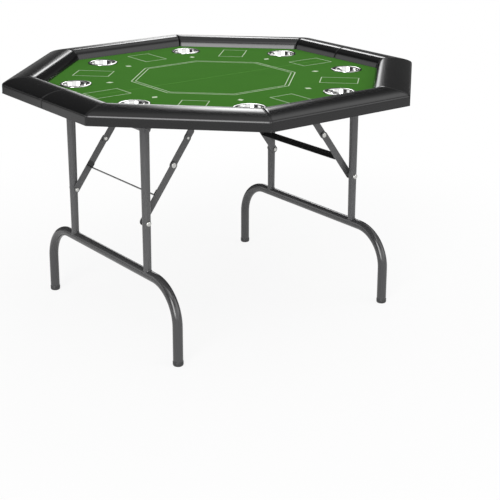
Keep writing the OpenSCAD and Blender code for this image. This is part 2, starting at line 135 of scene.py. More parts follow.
# %% Studio walls
# (share of the way from straight down to straight up, grey)
WALL_GREYS = ((0.0, 0.8), (0.48, 0.50), (0.51, 0.20), (0.55, 0.10), (0.60, 0.06), (0.80, 0.06),
              (0.88, 0.25), (0.93, 0.65), (1.0, 0.95))
world = bpy.data.worlds.new("studio")
bpy.context.scene.world = world
world.use_nodes = True
tree = world.node_tree
tree.nodes.clear()
way = add(tree, "SeparateXYZ", add(tree, "TexCoord").outputs["Generated"])
azimuth = add(tree, "Math", way.outputs["Y"], way.outputs["X"], operation="ARCTAN2")
elevation = add(tree, "Math", way.outputs["Z"], operation="ARCSINE")
walls = add(tree, "ValToRGB", add(tree, "Math", way.outputs["Z"], 0.5, 0.5, operation="MULTIPLY_ADD"))
stops = walls.color_ramp.elements
for spot, _ in WALL_GREYS[1:-1]:
    stops.new(spot)
for stop, (_, grey) in zip(stops, WALL_GREYS):
    stop.color = (grey, grey, grey, 1)
print("walls with", len(stops), "greys")

# %% Soft boxes
# name: level where 1 is paper white, then (azimuth, elevation), (half width, half height) and
# (fade across, fade up) in degrees
SOFT_BOXES = {
    "key": (8.0, (-146, 20), (13, 20), (12, 16)),
    "rim": (7.0, (53.5, 26), (3, 8), (5, 10)),
    "rim foot": (2.2, (56.5, 7.5), (3, 6), (5, 6)),
    "front panel": (1.8, (-50, 26), (24, 19), (20, 16)),
    "right panel": (0.9, (12, 46), (24, 12), (20, 14)),
    "left panel": (1.3, (140, 15), (18, 12), (12, 12)),
    "high panel": (1.6, (-118, 62), (40, 11), (30, 14)),
    "camera wall": (1.2, (-98, 14), (30, 18), (16, 14)),
}


def soft_box(level, at, reach, fade):
    """The light of one soft box, by the direction that is looked in."""
    light = level
    for angle, middle, half, edge in zip((azimuth, elevation), at, reach, fade):
        outer, inner = math.radians(half + edge / 2), math.radians(half - edge / 2)
        part = add(tree, "MapRange", gap(tree, angle, math.radians(middle)), outer, inner, 0.0, 1.0,
                   interpolation_type="SMOOTHSTEP")
        light = add(tree, "Math", part, light, operation="MULTIPLY")
    return light


total = walls
for box in SOFT_BOXES.values():
    total = add(tree, "Math", total, soft_box(*box), operation="ADD")
studio = add(tree, "Background", (1, 1, 1, 1), total)
white = add(tree, "Background", (1, 1, 1, 1), 1.0)
ray = add(tree, "LightPath")
add(tree, "OutputWorld", add(tree, "MixShader", ray.outputs["Is Camera Ray"], studio, white))
print("soft boxes:", ", ".join(SOFT_BOXES))

# %% [markdown]
# ## Floor
# White paper, as under any packshot. To the camera and in reflections it glows white, and its
# matt share takes the table's shadow, less and less away from the table. Behind the table it
# reflects darker than it looks, as the dim end of the studio does on the far rails. The paper is
# one-sided, so a view from below shows the table's underside.

# %% Floor
FLOOR_SIDE = 40
# from so many metres off the table's middle to so many, the glow goes from one share to the other
SHADOW_NEAR, SHADOW_FAR, GLOW_NEAR, GLOW_FAR = 0.9, 2.0, 0.88, 1.0
# the same for what the paper reflects, along the way that the camera looks
BACKWARD = (0.588, 0.809, 0)
DUSK_NEAR, DUSK_FAR, DUSK_START, DUSK_END = 0.8, 1.9, 0.85, 0.08
bpy.ops.object.select_all(action="DESELECT")
bpy.ops.mesh.primitive_plane_add(size=FLOOR_SIDE, location=(0, 0, 0))
floor = bpy.context.object
floor.name = "floor"
paper = bpy.data.materials.new("white paper sweep")
paper.use_nodes = True
tree = paper.node_tree
tree.nodes.clear()
place = add(tree, "TexCoord").outputs["Object"]
away = add(tree, "VectorMath", place, operation="LENGTH").outputs["Value"]
clear = add(tree, "MapRange", away, SHADOW_NEAR, SHADOW_FAR, GLOW_NEAR, GLOW_FAR,
            interpolation_type="SMOOTHSTEP")
behind = add(tree, "VectorMath", place, BACKWARD, operation="DOT_PRODUCT").outputs["Value"]
dusk = add(tree, "MapRange", behind, DUSK_NEAR, DUSK_FAR, DUSK_START, DUSK_END,
           interpolation_type="SMOOTHSTEP")
ray = add(tree, "LightPath")
seen = ray.outputs["Is Camera Ray"]
for kind in ("Is Glossy Ray", "Is Transmission Ray"):
    seen = add(tree, "Math", seen, ray.outputs[kind], operation="MAXIMUM")
matt = add(tree, "BsdfDiffuse", shade("F4F4F4"))
brightness = add(tree, "Math", ray.outputs["Is Camera Ray"], dusk, operation="MAXIMUM")
glow = add(tree, "Emission", (1, 1, 1, 1), brightness)
top = add(tree, "MixShader", add(tree, "Math", seen, clear, operation="MULTIPLY"), matt, glow)
underneath = add(tree, "NewGeometry").outputs["Backfacing"]
add(tree, "OutputMaterial", add(tree, "MixShader", underneath, top, add(tree, "BsdfTransparent")))
floor.data.materials.append(paper)
bpy.context.scene.view_settings.view_transform = "Standard"
print("floor", FLOOR_SIDE, "m wide")

# %% [markdown]
# ## Sizes
# The frame already holds every size, so they are read from its nodes in millimetres, to a tenth,
# and each gets a plain name. A piece that sits on a plate or a tube takes its place from these.
# What a node's box can't tell, such as the radius of a bend, is written out.

# %% Sizes of the table top
LOW, HIGH = 0, 1
X, Y, Z = 0, 1, 2
CLEAR = 0.3                                     # gap round soft pieces


def edge_of(node, side, axis):
    """Where a node ends on its low or high side along an axis, in mm."""
    return round(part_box(node)[side][axis] / MM, 1)


def middle_of(node, axis):
    """Where the middle of a node is along an axis, in mm."""
    low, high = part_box(node)
    return round((low[axis] + high[axis]) / 2 / MM, 1)


HALF, INNER = (edge_of("rail_pad_back", side, Y) for side in (HIGH, LOW))
CROWN, WALL_LOW = (edge_of("rail_pad_back", side, Z) for side in (HIGH, LOW))
FELT_Z = edge_of("felt_back", HIGH, Z)
FELT_T = round(FELT_Z - edge_of("felt_back", LOW, Z), 1)
ON_FELT = round(FELT_Z + CLEAR, 1)
BOARD_R = edge_of("board", HIGH, Y)
CUP_RING = round(math.hypot(middle_of("cup_1", X), middle_of("cup_1", Y)), 1)
CUP_LOW, CUP_R, CUP_HOLE = edge_of("cup_1", LOW, Z), 37.0, 42.5
TURN = math.radians(22.5)                       # half of one side of the octagon
print("half width", HALF, "inside the rail", INNER, "felt at", FELT_Z, "cups on a ring of", CUP_RING, "mm")

# %% Sizes of the legs and braces
LEG_X, PIVOT_Z = (middle_of("pivot_tube_right", axis) for axis in (X, Z))
UP_Y = middle_of("upright_right_back", Y)
UP_R, UP_TOP_R = 12.1, round(edge_of("upright_right_back", HIGH, X) - LEG_X, 1)
EAR_Y = edge_of("leg_bracket_right_back", LOW, Y)
FOOT_R = round(edge_of("foot_tube_right", HIGH, X) - LEG_X, 1)
FOOT_Y, BAR_Z = (round(edge_of("foot_tube_right", HIGH, axis) - FOOT_R, 1) for axis in (Y, Z))
BEND, TUBE_LOW = 115.0, 3.1
BOLT_Z = middle_of("brace_bolts_right", Z)
top_rivet, = (joint["pos_m"] for joint in frame["joints"] if joint["name"] == "right_upper_turn_back")
TOP_RIVET_X, _, TOP_RIVET_Z = (round(v / MM, 1) for v in top_rivet)
KNEE_X, KNEE_Z = (middle_of("knee_rivets_right", axis) for axis in (X, Z))
LOWER_LEN = round(math.hypot(LEG_X - KNEE_X, KNEE_Z - BOLT_Z), 1)
LOWER_Y = edge_of("lower_link_right_back", LOW, Y)
LINK_W, LINK_T = 23.0, round(edge_of("lower_link_right_back", HIGH, Y) - LOWER_Y, 1)
UPPER_Y = round(edge_of("upper_link_right_back", HIGH, Y) - LINK_T, 1)
TILT = math.atan2(TOP_RIVET_Z - BOLT_Z, LEG_X - TOP_RIVET_X)
SPAN = math.hypot(TOP_RIVET_Z - BOLT_Z, LEG_X - TOP_RIVET_X)
LEFT_RIGHT = (("left", False), ("right", True))
FRONT_BACK = (("front", False), ("back", True))
print("legs at", LEG_X, "feet at", FOOT_Y, "bar", BAR_Z, "link", LOWER_LEN, "of", round(SPAN, 1), "mm,",
      round(math.degrees(TILT), 2), "degrees")

# %% [markdown]
# ## Felt
# The playing surface is dyed polyester felt with pale printed lines: two octagons one inside the
# other, a card place in the middle of each side and a small mark towards each corner. An image
# would do for the print, but it follows the table's own symmetry, so the plan is folded instead:
# with the larger and the smaller of |x| and |y|, one slice of 45 degrees stands for all eight.
# To the eye the felt is quite matt, with a fine mottle of standing fibres.

# %% Material and pattern helpers
def material(name, **values):
    """A new material, its node tree, its shader with those values, and the object's coordinates."""
    made = bpy.data.materials.new(name)
    made.use_nodes = True
    shader = fill(made.node_tree.nodes["Principled BSDF"], **values)
    return made, made.node_tree, shader, add(made.node_tree, "TexCoord").outputs["Object"]


def folded(tree, place):
    """The larger and the smaller of |x| and |y|, in mm."""
    axes = add(tree, "SeparateXYZ", place)
    pair = [add(tree, "Math", axes.outputs[axis], operation="ABSOLUTE") for axis in "XY"]
    pair = [add(tree, "Math", size, 1000.0, operation="MULTIPLY") for size in pair]
    return [add(tree, "Math", *pair, operation=which) for which in ("MAXIMUM", "MINIMUM")]


def towards(degrees):
    """How far the folded point reaches in that direction, in mm."""
    along = add(tree, "Math", big, math.cos(math.radians(degrees)), operation="MULTIPLY")
    aside = add(tree, "Math", small, math.sin(math.radians(degrees)), operation="MULTIPLY")
    return add(tree, "Math", along, aside, operation="ADD")


def line(value, centre, width, soft=1.2):
    """1 on a printed line of that width in mm, with a soft edge."""
    outer, inner = width / 2 + soft / 2, width / 2 - soft / 2
    return add(tree, "MapRange", gap(tree, value, centre), outer, inner, 0.0, 1.0,
               interpolation_type="SMOOTHSTEP")


felt, tree, shader, place = material("printed polyester felt", Roughness=0.95, Sheen_Weight=0.02,
                                     Sheen_Roughness=0.5, Specular_IOR_Level=0.05)
big, small = folded(tree, place)
to_side = add(tree, "Math", big, towards(45), operation="MAXIMUM")
off_middle = add(tree, "Math", small, towards(-45), operation="MINIMUM")
to_corner = towards(22.5)
off_corner = add(tree, "Math", towards(112.5), operation="ABSOLUTE")
print("felt pattern folded with", len(tree.nodes), "nodes")

# %% Printed lines
OCTAGONS = ((244.0, 2.6), (232.0, 2.2))         # distance from the middle and line width
CARD_IN, CARD_OUT, CARD_HALF, CARD_LINE = 333.0, 449.0, 40.0, 2.2
MARK_AT, MARK_FLAT, MARK_OUT, MARK_IN = 331.0, 0.75, 10.0, 8.6
prints = [line(to_side, at, width) for at, width in OCTAGONS]
card_x = add(tree, "Math", gap(tree, to_side, (CARD_IN + CARD_OUT) / 2), (CARD_OUT - CARD_IN) / 2,
             operation="SUBTRACT")
card_y = add(tree, "Math", off_middle, CARD_HALF, operation="SUBTRACT")
prints.append(line(add(tree, "Math", card_x, card_y, operation="MAXIMUM"), 0.0, CARD_LINE))
mark = add(tree, "Math", gap(tree, to_corner, MARK_AT), MARK_FLAT, off_corner, operation="MULTIPLY_ADD")
prints.append(add(tree, "MapRange", mark, MARK_OUT, MARK_IN, 0.0, 1.0))
ink = prints[0]
for other in prints[1:]:
    ink = add(tree, "Math", ink, other, operation="MAXIMUM")
print(len(prints), "printed figures")

# %% Dyed pile, and a painted highlight along the seam
# fibres are about 0.02 mm thick; tufts of 3 mm are as fine as shows here
TUFT_MM, CLOUD_MM, SEAM_MM = 3.0, 90.0, 3.0
# the seam's share is how strongly its painted highlight shows
INK_COVER, SEAM_HIGHLIGHT_COVER, CLOUD_COVER = 0.92, 0.5, 0.10
tufts = add(tree, "TexNoise", place, Scale=1000 / TUFT_MM, Detail=4.0, Roughness=0.6)
cloudy = add(tree, "TexNoise", place, Scale=1000 / CLOUD_MM, Detail=2.0)
pile = add(tree, "MixRGB", tufts, shade("38701C"), shade("427E26"))
# a paler line is painted along the seam between the halves: a painted highlight where the seam catches the
# light
y_mm = add(tree, "Math", add(tree, "SeparateXYZ", place).outputs["Y"], 1000.0, operation="MULTIPLY")
seam = add(tree, "Math", line(y_mm, 0.0, SEAM_MM), SEAM_HIGHLIGHT_COVER, operation="MULTIPLY")
# the paler green of the painted highlight on the seam
pile = add(tree, "MixRGB", seam, pile, shade("66A24C"))
pile = add(tree, "MixRGB", CLOUD_COVER, pile, cloudy, blend_type="MULTIPLY")
covered = add(tree, "Math", ink, INK_COVER, operation="MULTIPLY")
nap = add(tree, "Bump", Height=tufts, Strength=0.35, Distance=0.0006)
fill(shader, Base_Color=add(tree, "MixRGB", covered, pile, shade("DDEBD0")), Normal=nap)
print("felt with", len(tree.nodes), "nodes")

# %% [markdown]
# ## Vinyl of the rail
# PVC upholstery vinyl, calendered and embossed with a fine leather grain, then stretched over
# foam. To the eye it is near black with a narrow, soft-edged shine. The grain's cells are about
# 1.6 mm, and where hands have rubbed it the gloss changes in patches of about 45 mm. The grain
# could be sculpted, but it is too fine to show in the outline, so it is only bump.

# %% Embossed vinyl
GRAIN_MM, HAND_MM = 1.6, 45.0
vinyl, tree, shader, place = material("embossed PVC upholstery vinyl", Specular_IOR_Level=0.5,
                                      Base_Color=shade("0D0D0E"))
cells = add(tree, "TexVoronoi", place, Scale=1000 / GRAIN_MM, feature="DISTANCE_TO_EDGE")
patches = add(tree, "TexNoise", place, Scale=1000 / HAND_MM, Detail=3.0)
fill(shader, Normal=add(tree, "Bump", Height=cells, Strength=0.10, Distance=0.0002),
     Roughness=add(tree, "MapRange", patches, To_Min=0.15, To_Max=0.20))
print("vinyl with a grain of", GRAIN_MM, "mm")

# %% [markdown]
# ## Underside
# The board is particle board pressed with a black melamine laminate: smooth, quite glossy, with
# a faint orange peel. The sloping band of the rail's frame is wrapped in the same vinyl, but
# stretched tight over wood, so it is smoother and its grain is flatter. Both are frame nodes with
# the right shape already, so they need a finish and no mesh.

# %% Laminate
PEEL_MM, RUBBED_MM = 6.0, 1000 / 9.0
laminate, tree, shader, place = material("black melamine laminate", Base_Color=shade("131314"))
peel = add(tree, "TexNoise", place, Scale=1000 / PEEL_MM, Detail=2.0)
rubbed = add(tree, "TexNoise", place, Scale=1000 / RUBBED_MM, Detail=3.0)
fill(shader, Normal=add(tree, "Bump", Height=peel, Strength=0.12, Distance=0.0003),
     Roughness=add(tree, "MapRange", rubbed, To_Min=0.18, To_Max=0.30))
print("laminate rubbed in patches of", round(RUBBED_MM), "mm")

# %% Wrapped frame
wrap, tree, shader, place = material("vinyl wrapped tight over wood", Roughness=0.34,
                                     Base_Color=shade("161617"))
cells = add(tree, "TexVoronoi", place, Scale=1000 / GRAIN_MM, feature="DISTANCE_TO_EDGE")
fill(shader, Normal=add(tree, "Bump", Height=cells, Strength=0.12, Distance=0.0002))
print("wrap with the same grain")

# %% [markdown]
# ## Metals and plastic
# Uprights, links, brackets and pivot pins: steel with a dark grey epoxy powder coat, satin, with
# a fine orange peel. The bent foot tube has a glossier coat with a sharper highlight, and its
# colour is darkened as painted shade; the cross plate's coat is darkened to nearly black as painted
# shade, both for the shade under the table top. Foot caps: moulded polypropylene, duller than the coats.
# Rivets, bolts and screws: bright zinc plate, a pale metal with a faint spangle. Cup holders:
# stainless sheet, spun and polished, a mirror with faint rings from the tool. The coats differ
# only in colour, gloss and peel, so one function makes them all.

# %% Powder coats and plastic
def coated(name, colour, rough, peel_mm, strength, glossier=0.05, duller=0.06):
    """A plastic skin with a small orange peel, in places a little glossier or duller."""
    made, tree, shader, place = material(name, Base_Color=shade(colour), Specular_IOR_Level=0.6)
    skin = add(tree, "TexNoise", place, Scale=1000 / peel_mm, Detail=3.0)
    fill(shader, Normal=add(tree, "Bump", Height=skin, Strength=strength, Distance=0.0002),
         Roughness=add(tree, "MapRange", skin, To_Min=rough - glossier, To_Max=rough + duller))
    return made


leg_coat = coated("dark grey powder coated steel", "4A4A4B", 0.24, 2.5, 0.12)
# painted shade: the next two coats are darker than the leg coat, for the shade under the table
foot_coat_painted_shade = coated("glossier powder coat with painted shade on the bent tube", "3C3C3D", 0.12, 2.5, 0.04)
plate_coat_painted_shade = coated("powder coat darkened as painted shade on the cross plate", "161617", 0.34, 2.5, 0.12)
cap_plastic = coated("moulded polypropylene", "2A2A2B", 0.46, 1.5, 0.2)
print("three coats and one plastic")

# %% Bare metals
SPANGLE_MM, RINGS_PER_MM = 3.0, 0.9
zinc, tree, shader, place = material("bright zinc plate", Metallic=1.0, Base_Color=shade("CFCFCC"))
spangle = add(tree, "TexNoise", place, Scale=1000 / SPANGLE_MM, Detail=2.0)
fill(shader, Roughness=add(tree, "MapRange", spangle, To_Min=0.16, To_Max=0.34))
# the rings run round each cup, and the folded plan gives one cup's middle for all eight
steel, tree, shader, place = material("polished stainless sheet", Metallic=1.0, Base_Color=shade("D9D9D8"))
big, small = folded(tree, place)
from_x = add(tree, "Math", big, CUP_RING * math.cos(TURN), operation="SUBTRACT")
from_y = add(tree, "Math", small, CUP_RING * math.sin(TURN), operation="SUBTRACT")
squares = [add(tree, "Math", term, term, operation="MULTIPLY") for term in (from_x, from_y)]
round_mm = add(tree, "Math", add(tree, "Math", *squares, operation="ADD"), operation="SQRT")
rings = add(tree, "TexNoise", W=round_mm, Scale=RINGS_PER_MM, Detail=3.0, noise_dimensions="1D")
fill(shader, Roughness=add(tree, "MapRange", rings, To_Min=0.05, To_Max=0.15))
print("materials", len(bpy.data.materials))

# %% [markdown]
# ## The padded rail
# Each side of the rail is a sewn vinyl sleeve over foam, cut at a mitre and pulled down at the
# seams. One section is drawn as a ring, extruded along the side in steps, and then each step is
# moved to its place: fanned out to the mitre and drawn in at the seam. A cloth simulation would
# round the tight sleeve away from its real section, so the stretch is modelled directly.
# Operators work on whatever is selected, so each piece starts from an empty selection.

# %% Helpers for modelling in edit mode
def fresh():
    """Object mode, nothing selected."""
    if bpy.context.object and bpy.context.object.mode != "OBJECT":
        bpy.ops.object.mode_set(mode="OBJECT")
    bpy.ops.object.select_all(action="DESELECT")


def edit(name):
    """Name the new primitive and open it in edit mode."""
    piece = bpy.context.object
    piece.name = piece.data.name = name
    bpy.ops.object.mode_set(mode="EDIT")
    bpy.ops.mesh.select_all(action="SELECT")
    return piece


def extrude(x, y, z):
    """Extrude what is selected by that many mm."""
    bpy.ops.mesh.extrude_region_move(TRANSFORM_OT_translate={"value": (x * MM, y * MM, z * MM)})


def close(piece, angle=35):
    """Leave edit mode with the faces pointing out, smooth where they meet at less than the angle."""
    bpy.ops.mesh.select_all(action="SELECT")
    bpy.ops.mesh.normals_make_consistent(inside=False)
    bpy.ops.object.mode_set(mode="OBJECT")
    if angle:
        bpy.ops.object.shade_smooth_by_angle(angle=math.radians(angle))
    return piece


# %% Helpers for copies
def copy_of(piece, name, turn=0.0, flip_x=False, flip_y=False):
    """A copy with its own mesh, turned about the table's middle or mirrored."""
    twin = piece.copy()
    twin.data = piece.data.copy()
    twin.name = twin.data.name = name
    bpy.context.scene.collection.objects.link(twin)
    flat = Matrix.Diagonal((-1 if flip_x else 1, -1 if flip_y else 1, 1, 1))
    twin.data.transform(Matrix.Rotation(turn, 4, "Z") @ flat)
    if flip_x != flip_y:
        twin.data.flip_normals()
    return twin


def dress(piece, finish, slot, body, *stands_for):
    """Give a piece its material, its body and the frame nodes that it stands for."""
    piece.data.materials.clear()
    piece.data.materials.append(finish)
    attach(piece, body)
    if stands_for:
        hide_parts(*stands_for)
    return piece


def remove(*pieces):
    """Take away the originals once they are copied."""
    for piece in pieces:
        bpy.data.objects.remove(piece)


# %% Section of the rail
# (distance from the middle, height): from the foot of the outer wall over the crown to the felt
OUTLINE = [(HALF, WALL_LOW), (HALF, 736), (HALF, 746.6), (609.6, 749.4), (608.5, 752.0), (606.4, 754.1),
           (604, 755.6), (597, 758.8), (588, 762), (576, 765.2), (562, 768), (548, 769.6), (536, CROWN),
           (524.5, 769), (515, 766), (507.6, 761), (502, 754.2), (498.6, 747), (496.8, 741.4),
           (INNER, ON_FELT)]
# the hidden side, which lies over the wooden frame
HIDDEN = [(BOARD_R, ON_FELT), (506.2, 741.6), (520, 757.3), (560, 757.3), (596, 752.2), (605.8, 747.2),
          (605.8, WALL_LOW)]


def corners_cut(points):
    """The same outline with each corner cut off at a quarter of its two sides."""
    cut = [points[0]]
    for (xa, za), (xb, zb) in zip(points, points[1:]):
        cut.append((0.75 * xa + 0.25 * xb, 0.75 * za + 0.25 * zb))
        cut.append((0.25 * xa + 0.75 * xb, 0.25 * za + 0.75 * zb))
    return cut + [points[-1]]


shown = corners_cut(corners_cut(OUTLINE))
section = shown + HIDDEN
print("rail section of", len(section), "points,", len(shown), "of them in sight")

# %% One side of the rail
FOAM_HEART = Vector((552, 745))                 # seams are drawn in towards it
PULL, PULL_REACH = 2.1, 1.5                     # depth of a seam's groove, and how soon it fades
HEM, HEM_PULL = 6, 0.15                         # the stapled hem of the outer wall gives least
RING_STEP = 0.01                                # only tells the rings apart until they are placed


def rail_point(where, share, low, high):
    """Point number where of the section, at that share of the side's half length, in mm."""
    x, z = section[where]
    full = x * math.tan(TURN) - CLEAR / math.cos(TURN)
    y = share * full
    to_ends = [abs(end * full - y) * math.cos(TURN) if abs(end) == 1 else abs(y) for end in (low, high)]
    if where < len(shown):
        pull = PULL * math.exp(-min(to_ends) / PULL_REACH)
        give = min(1.0, max(0.0, (z - WALL_LOW) / HEM + HEM_PULL))
        out = Vector((x, z)) - FOAM_HEART
        x, z = Vector((x, z)) - out.normalized() * pull * give
    if share == 0 and 0 in (low, high):         # the edge at the middle seam
        y = CLEAR if low == 0 else -CLEAR
    return Vector((x, y, z))


def rail_side(name, low, high, steps):
    """One padded side along y, from share low to share high of its half length (-1 to 1)."""
    fresh()
    bpy.ops.mesh.primitive_circle_add(vertices=len(section), radius=0.05, fill_type="NGON")
    piece = edit(name)
    for _ in range(steps):
        extrude(0, 0, RING_STEP / MM)
    bpy.ops.object.mode_set(mode="OBJECT")
    for spot in piece.data.vertices:
        ring = round(spot.co.z / RING_STEP)
        around = math.atan2(spot.co.y, spot.co.x) % (2 * math.pi)
        where = round(around / (2 * math.pi) * len(section)) % len(section)
        share = low + (high - low) * (0.5 - 0.5 * math.cos(math.pi * ring / steps))
        spot.co = rail_point(where, share, low, high) * MM
    bpy.ops.object.mode_set(mode="EDIT")
    return close(piece, angle=0)                # its flat faces are too narrow to show


whole = rail_side("rail_whole", -1, 1, 40)
half_left = rail_side("rail_half_left", 0, 1, 26)
half_right = rail_side("rail_half_right", -1, 0, 26)
print("rail shapes of", [len(shape.data.polygons) for shape in (whole, half_left, half_right)], "faces")

# %% Ten pads round the table
PADS = {                                        # node: its shape, and its side counted from the right
    "rail_pad_right_back": (half_left, 0),
    "rail_pad_back_right": (whole, 1),
    "rail_pad_back": (whole, 2),
    "rail_pad_back_left": (whole, 3),
    "rail_pad_left_back": (half_right, 4),
    "rail_pad_left_front": (half_left, 4),
    "rail_pad_front_left": (whole, 5),
    "rail_pad_front": (whole, 6),
    "rail_pad_front_right": (whole, 7),
    "rail_pad_right_front": (half_right, 0),
}
for node, (shape, side) in PADS.items():
    pad = copy_of(shape, node.replace("rail_pad", "padded_rail"), turn=math.radians(45 * side))
    dress(pad, vinyl, "rail_vinyl", "top", node)
remove(whole, half_left, half_right)
print("rail:", len(PADS), "pads")

# %% [markdown]
# ## The felt halves
# The felt with its thin foam is a sheet stretched flat over the board, in two halves that meet
# under a seam in the middle of the table. An octagon is cut in half, Solidify gives the
# thickness, the cup holes are cut out with a boolean and a fine bevel rounds the cut edges. A
# cloth simulation would change nothing on a sheet that is held flat all over.

# %% Helpers for modifiers and joining
def modify(piece, kind, **settings):
    """Add a modifier and apply it."""
    fresh()
    bpy.context.view_layer.objects.active = piece
    piece.select_set(True)
    tool = piece.modifiers.new("tool", kind)
    for key, value in settings.items():
        setattr(tool, key, value)
    bpy.ops.object.modifier_apply(modifier=tool.name)
    return piece


def joined(name, *pieces):
    """One object out of several."""
    fresh()
    for piece in pieces:
        piece.select_set(True)
    bpy.context.view_layer.objects.active = pieces[0]
    bpy.ops.object.join()
    pieces[0].name = pieces[0].data.name = name
    return pieces[0]


def cup_place(k):
    """Where cup holder number k stands, counted from the right, in metres."""
    angle = TURN + math.radians(45 * k)
    return CUP_RING * MM * math.cos(angle), CUP_RING * MM * math.sin(angle)


# %% Felt halves
CLOTH_R = BOARD_R - 1
PUNCH_Z, PUNCH_DEPTH = 0.737, 0.02
fresh()
bpy.ops.mesh.primitive_circle_add(vertices=8, radius=CLOTH_R * MM / math.cos(TURN), fill_type="NGON")
bpy.context.object.rotation_euler.z = TURN
bpy.context.object.location.z = FELT_Z * MM
bpy.ops.object.transform_apply(location=True, rotation=True)
cloth = edit("felt_cloth")
bpy.ops.mesh.bisect(plane_co=(0, -CLEAR * MM, 0), plane_no=(0, 1, 0), clear_outer=True)
bpy.ops.object.mode_set(mode="OBJECT")
modify(cloth, "SOLIDIFY", thickness=FELT_T * MM, offset=-1)
holes = []
for k in range(4, 8):
    fresh()
    bpy.ops.mesh.primitive_cylinder_add(vertices=48, radius=CUP_HOLE * MM, depth=PUNCH_DEPTH,
                                        location=(*cup_place(k), PUNCH_Z))
    bpy.ops.object.transform_apply(location=True)
    holes.append(bpy.context.object)
punch = joined("punch", *holes)
modify(cloth, "BOOLEAN", object=punch, operation="DIFFERENCE", solver="EXACT")
modify(cloth, "BEVEL", width=0.0006, segments=2, limit_method="ANGLE")
print("felt cloth of", len(cloth.data.polygons), "faces")

# %% Both halves
for name, back in (("felt_front", False), ("felt_back", True)):
    half = copy_of(cloth, name + "_cloth", flip_y=back)
    dress(half, felt, "felt", "top", name)
remove(cloth, punch)

# %% [markdown]
# ## Cup holders
# Each cup is spun from stainless sheet: a flat bottom with a rounded corner, a wall that opens a
# little, and a wide domed flange that lies on the felt. It is turned as on a lathe: a disc is
# extruded ring by ring and each ring scaled, up the outside, over the rolled edge and down the
# inside. A Screw modifier could turn a drawn profile too, but here each ring's radius can be read
# in the list. Then the cup is copied round the table.

# %% Helper for turned parts
def turned(name, rings, sides=48, at=(0, 0, 0)):
    """A part turned about z from (radius, height) pairs in mm; both ends are flat discs."""
    fresh()
    (radius, level), rest = rings[0], rings[1:]
    bpy.ops.mesh.primitive_circle_add(vertices=sides, radius=radius * MM, fill_type="NGON",
                                      location=(0, 0, level * MM))
    bpy.ops.object.transform_apply(location=True)
    piece = edit(name)
    for next_radius, next_level in rest:
        extrude(0, 0, next_level - level)
        grow = next_radius / radius
        bpy.ops.transform.resize(value=(grow, grow, 1), center_override=(0, 0, next_level * MM))
        radius, level = next_radius, next_level
    close(piece)
    piece.data.transform(Matrix.Translation(Vector(at) * MM))
    return piece


# %% Cup holders
R, B, S = CUP_R, CUP_LOW, ON_FELT               # mouth radius, bottom, and the felt it sits on
outside = [(6, B), (R - 10, B), (R - 7.5, B + 0.4), (R - 5.5, B + 1.6), (R - 3.9, B + 3.2),
           (R - 2.6, B + 5.6), (R - 1.6, B + 10), (R + 1.1, S - 2), (R + 1.2, S - 0.1), (R + 1.6, S + 0.1)]
flange = [(47.4, S + 0.1), (48.4, S + 0.25), (48.9, S + 0.9), (48.7, S + 1.6), (48.0, S + 2.1),
          (46.6, S + 2.6), (45.0, S + 2.85), (43.2, S + 2.9), (41.4, S + 2.75), (39.9, S + 2.4),
          (38.6, S + 1.8), (37.6, S + 0.9)]
inside = [(R, S - 0.4), (R - 2.8, B + 10.2), (R - 3.7, B + 6.2), (R - 4.9, B + 4.2), (R - 6.6, B + 2.5),
          (R - 8.5, B + 1.6), (R - 10.5, B + 1.3), (6, B + 1.3)]
cup = turned("cup_holder", outside + flange + inside, sides=64)
for k in range(8):
    holder = copy_of(cup, f"cup_holder_{k + 1}")
    holder.data.transform(Matrix.Translation((*cup_place(k), 0)))
    dress(holder, steel, "cup_steel", "top", f"cup_{k + 1}")
remove(cup)
print("8 cup holders of", len(holder.data.polygons), "faces")

# %% [markdown]
# ## Leg frames
# The foot tube is one bent steel tube: up from a foot, round a wide bend, across and down again.
# A disc is extruded up, spun round the bend, extruded across, spun and extruded down. A bevelled
# curve would look much the same, but the spin gives the bend its true radius. The two uprights
# are tapered tubes with a saddle cut at the bottom, welded to it. Every shape is made once, for
# the left leg or its front end, and mirrored.

# %% Foot tube
def bent_foot_tube(name):
    """The tube from foot to foot, its ends a little above the floor of the caps."""
    fresh()
    run, drop = FOOT_Y - BEND, BAR_Z - BEND
    bpy.ops.mesh.primitive_circle_add(vertices=40, radius=FOOT_R * MM, fill_type="NGON",
                                      location=(-LEG_X * MM, -FOOT_Y * MM, TUBE_LOW * MM))
    bpy.ops.object.transform_apply(location=True)
    piece = edit(name)
    extrude(0, 0, drop - TUBE_LOW)
    for y, way_on in ((-run, (0, 2 * run, 0)), (run, (0, 0, TUBE_LOW - drop))):
        centre = (-LEG_X * MM, y * MM, drop * MM)
        bpy.ops.mesh.spin(steps=18, angle=math.radians(90), center=centre, axis=(1, 0, 0))
        extrude(*way_on)
    return close(piece)


foot = bent_foot_tube("foot_tube")
print("foot tube box", *([round(v / MM, 1) for v in foot.bound_box[corner]] for corner in (0, 6)))

# %% Uprights and pivot tube
def along_y(piece, x, z, y=0.0, flip=False):
    """Lay a part turned about z along the y axis, its z = 0 at y, pointing to -y (or +y)."""
    lay = Matrix.Rotation(math.radians(-90 if flip else 90), 4, "X")
    piece.data.transform(Matrix.Translation(Vector((x, y, z)) * MM) @ lay)
    return piece


def saddle(off):
    """Height of the crossbar's surface above its axis, at that distance from the axis."""
    return math.sqrt(max(0.0, FOOT_R ** 2 - off ** 2))


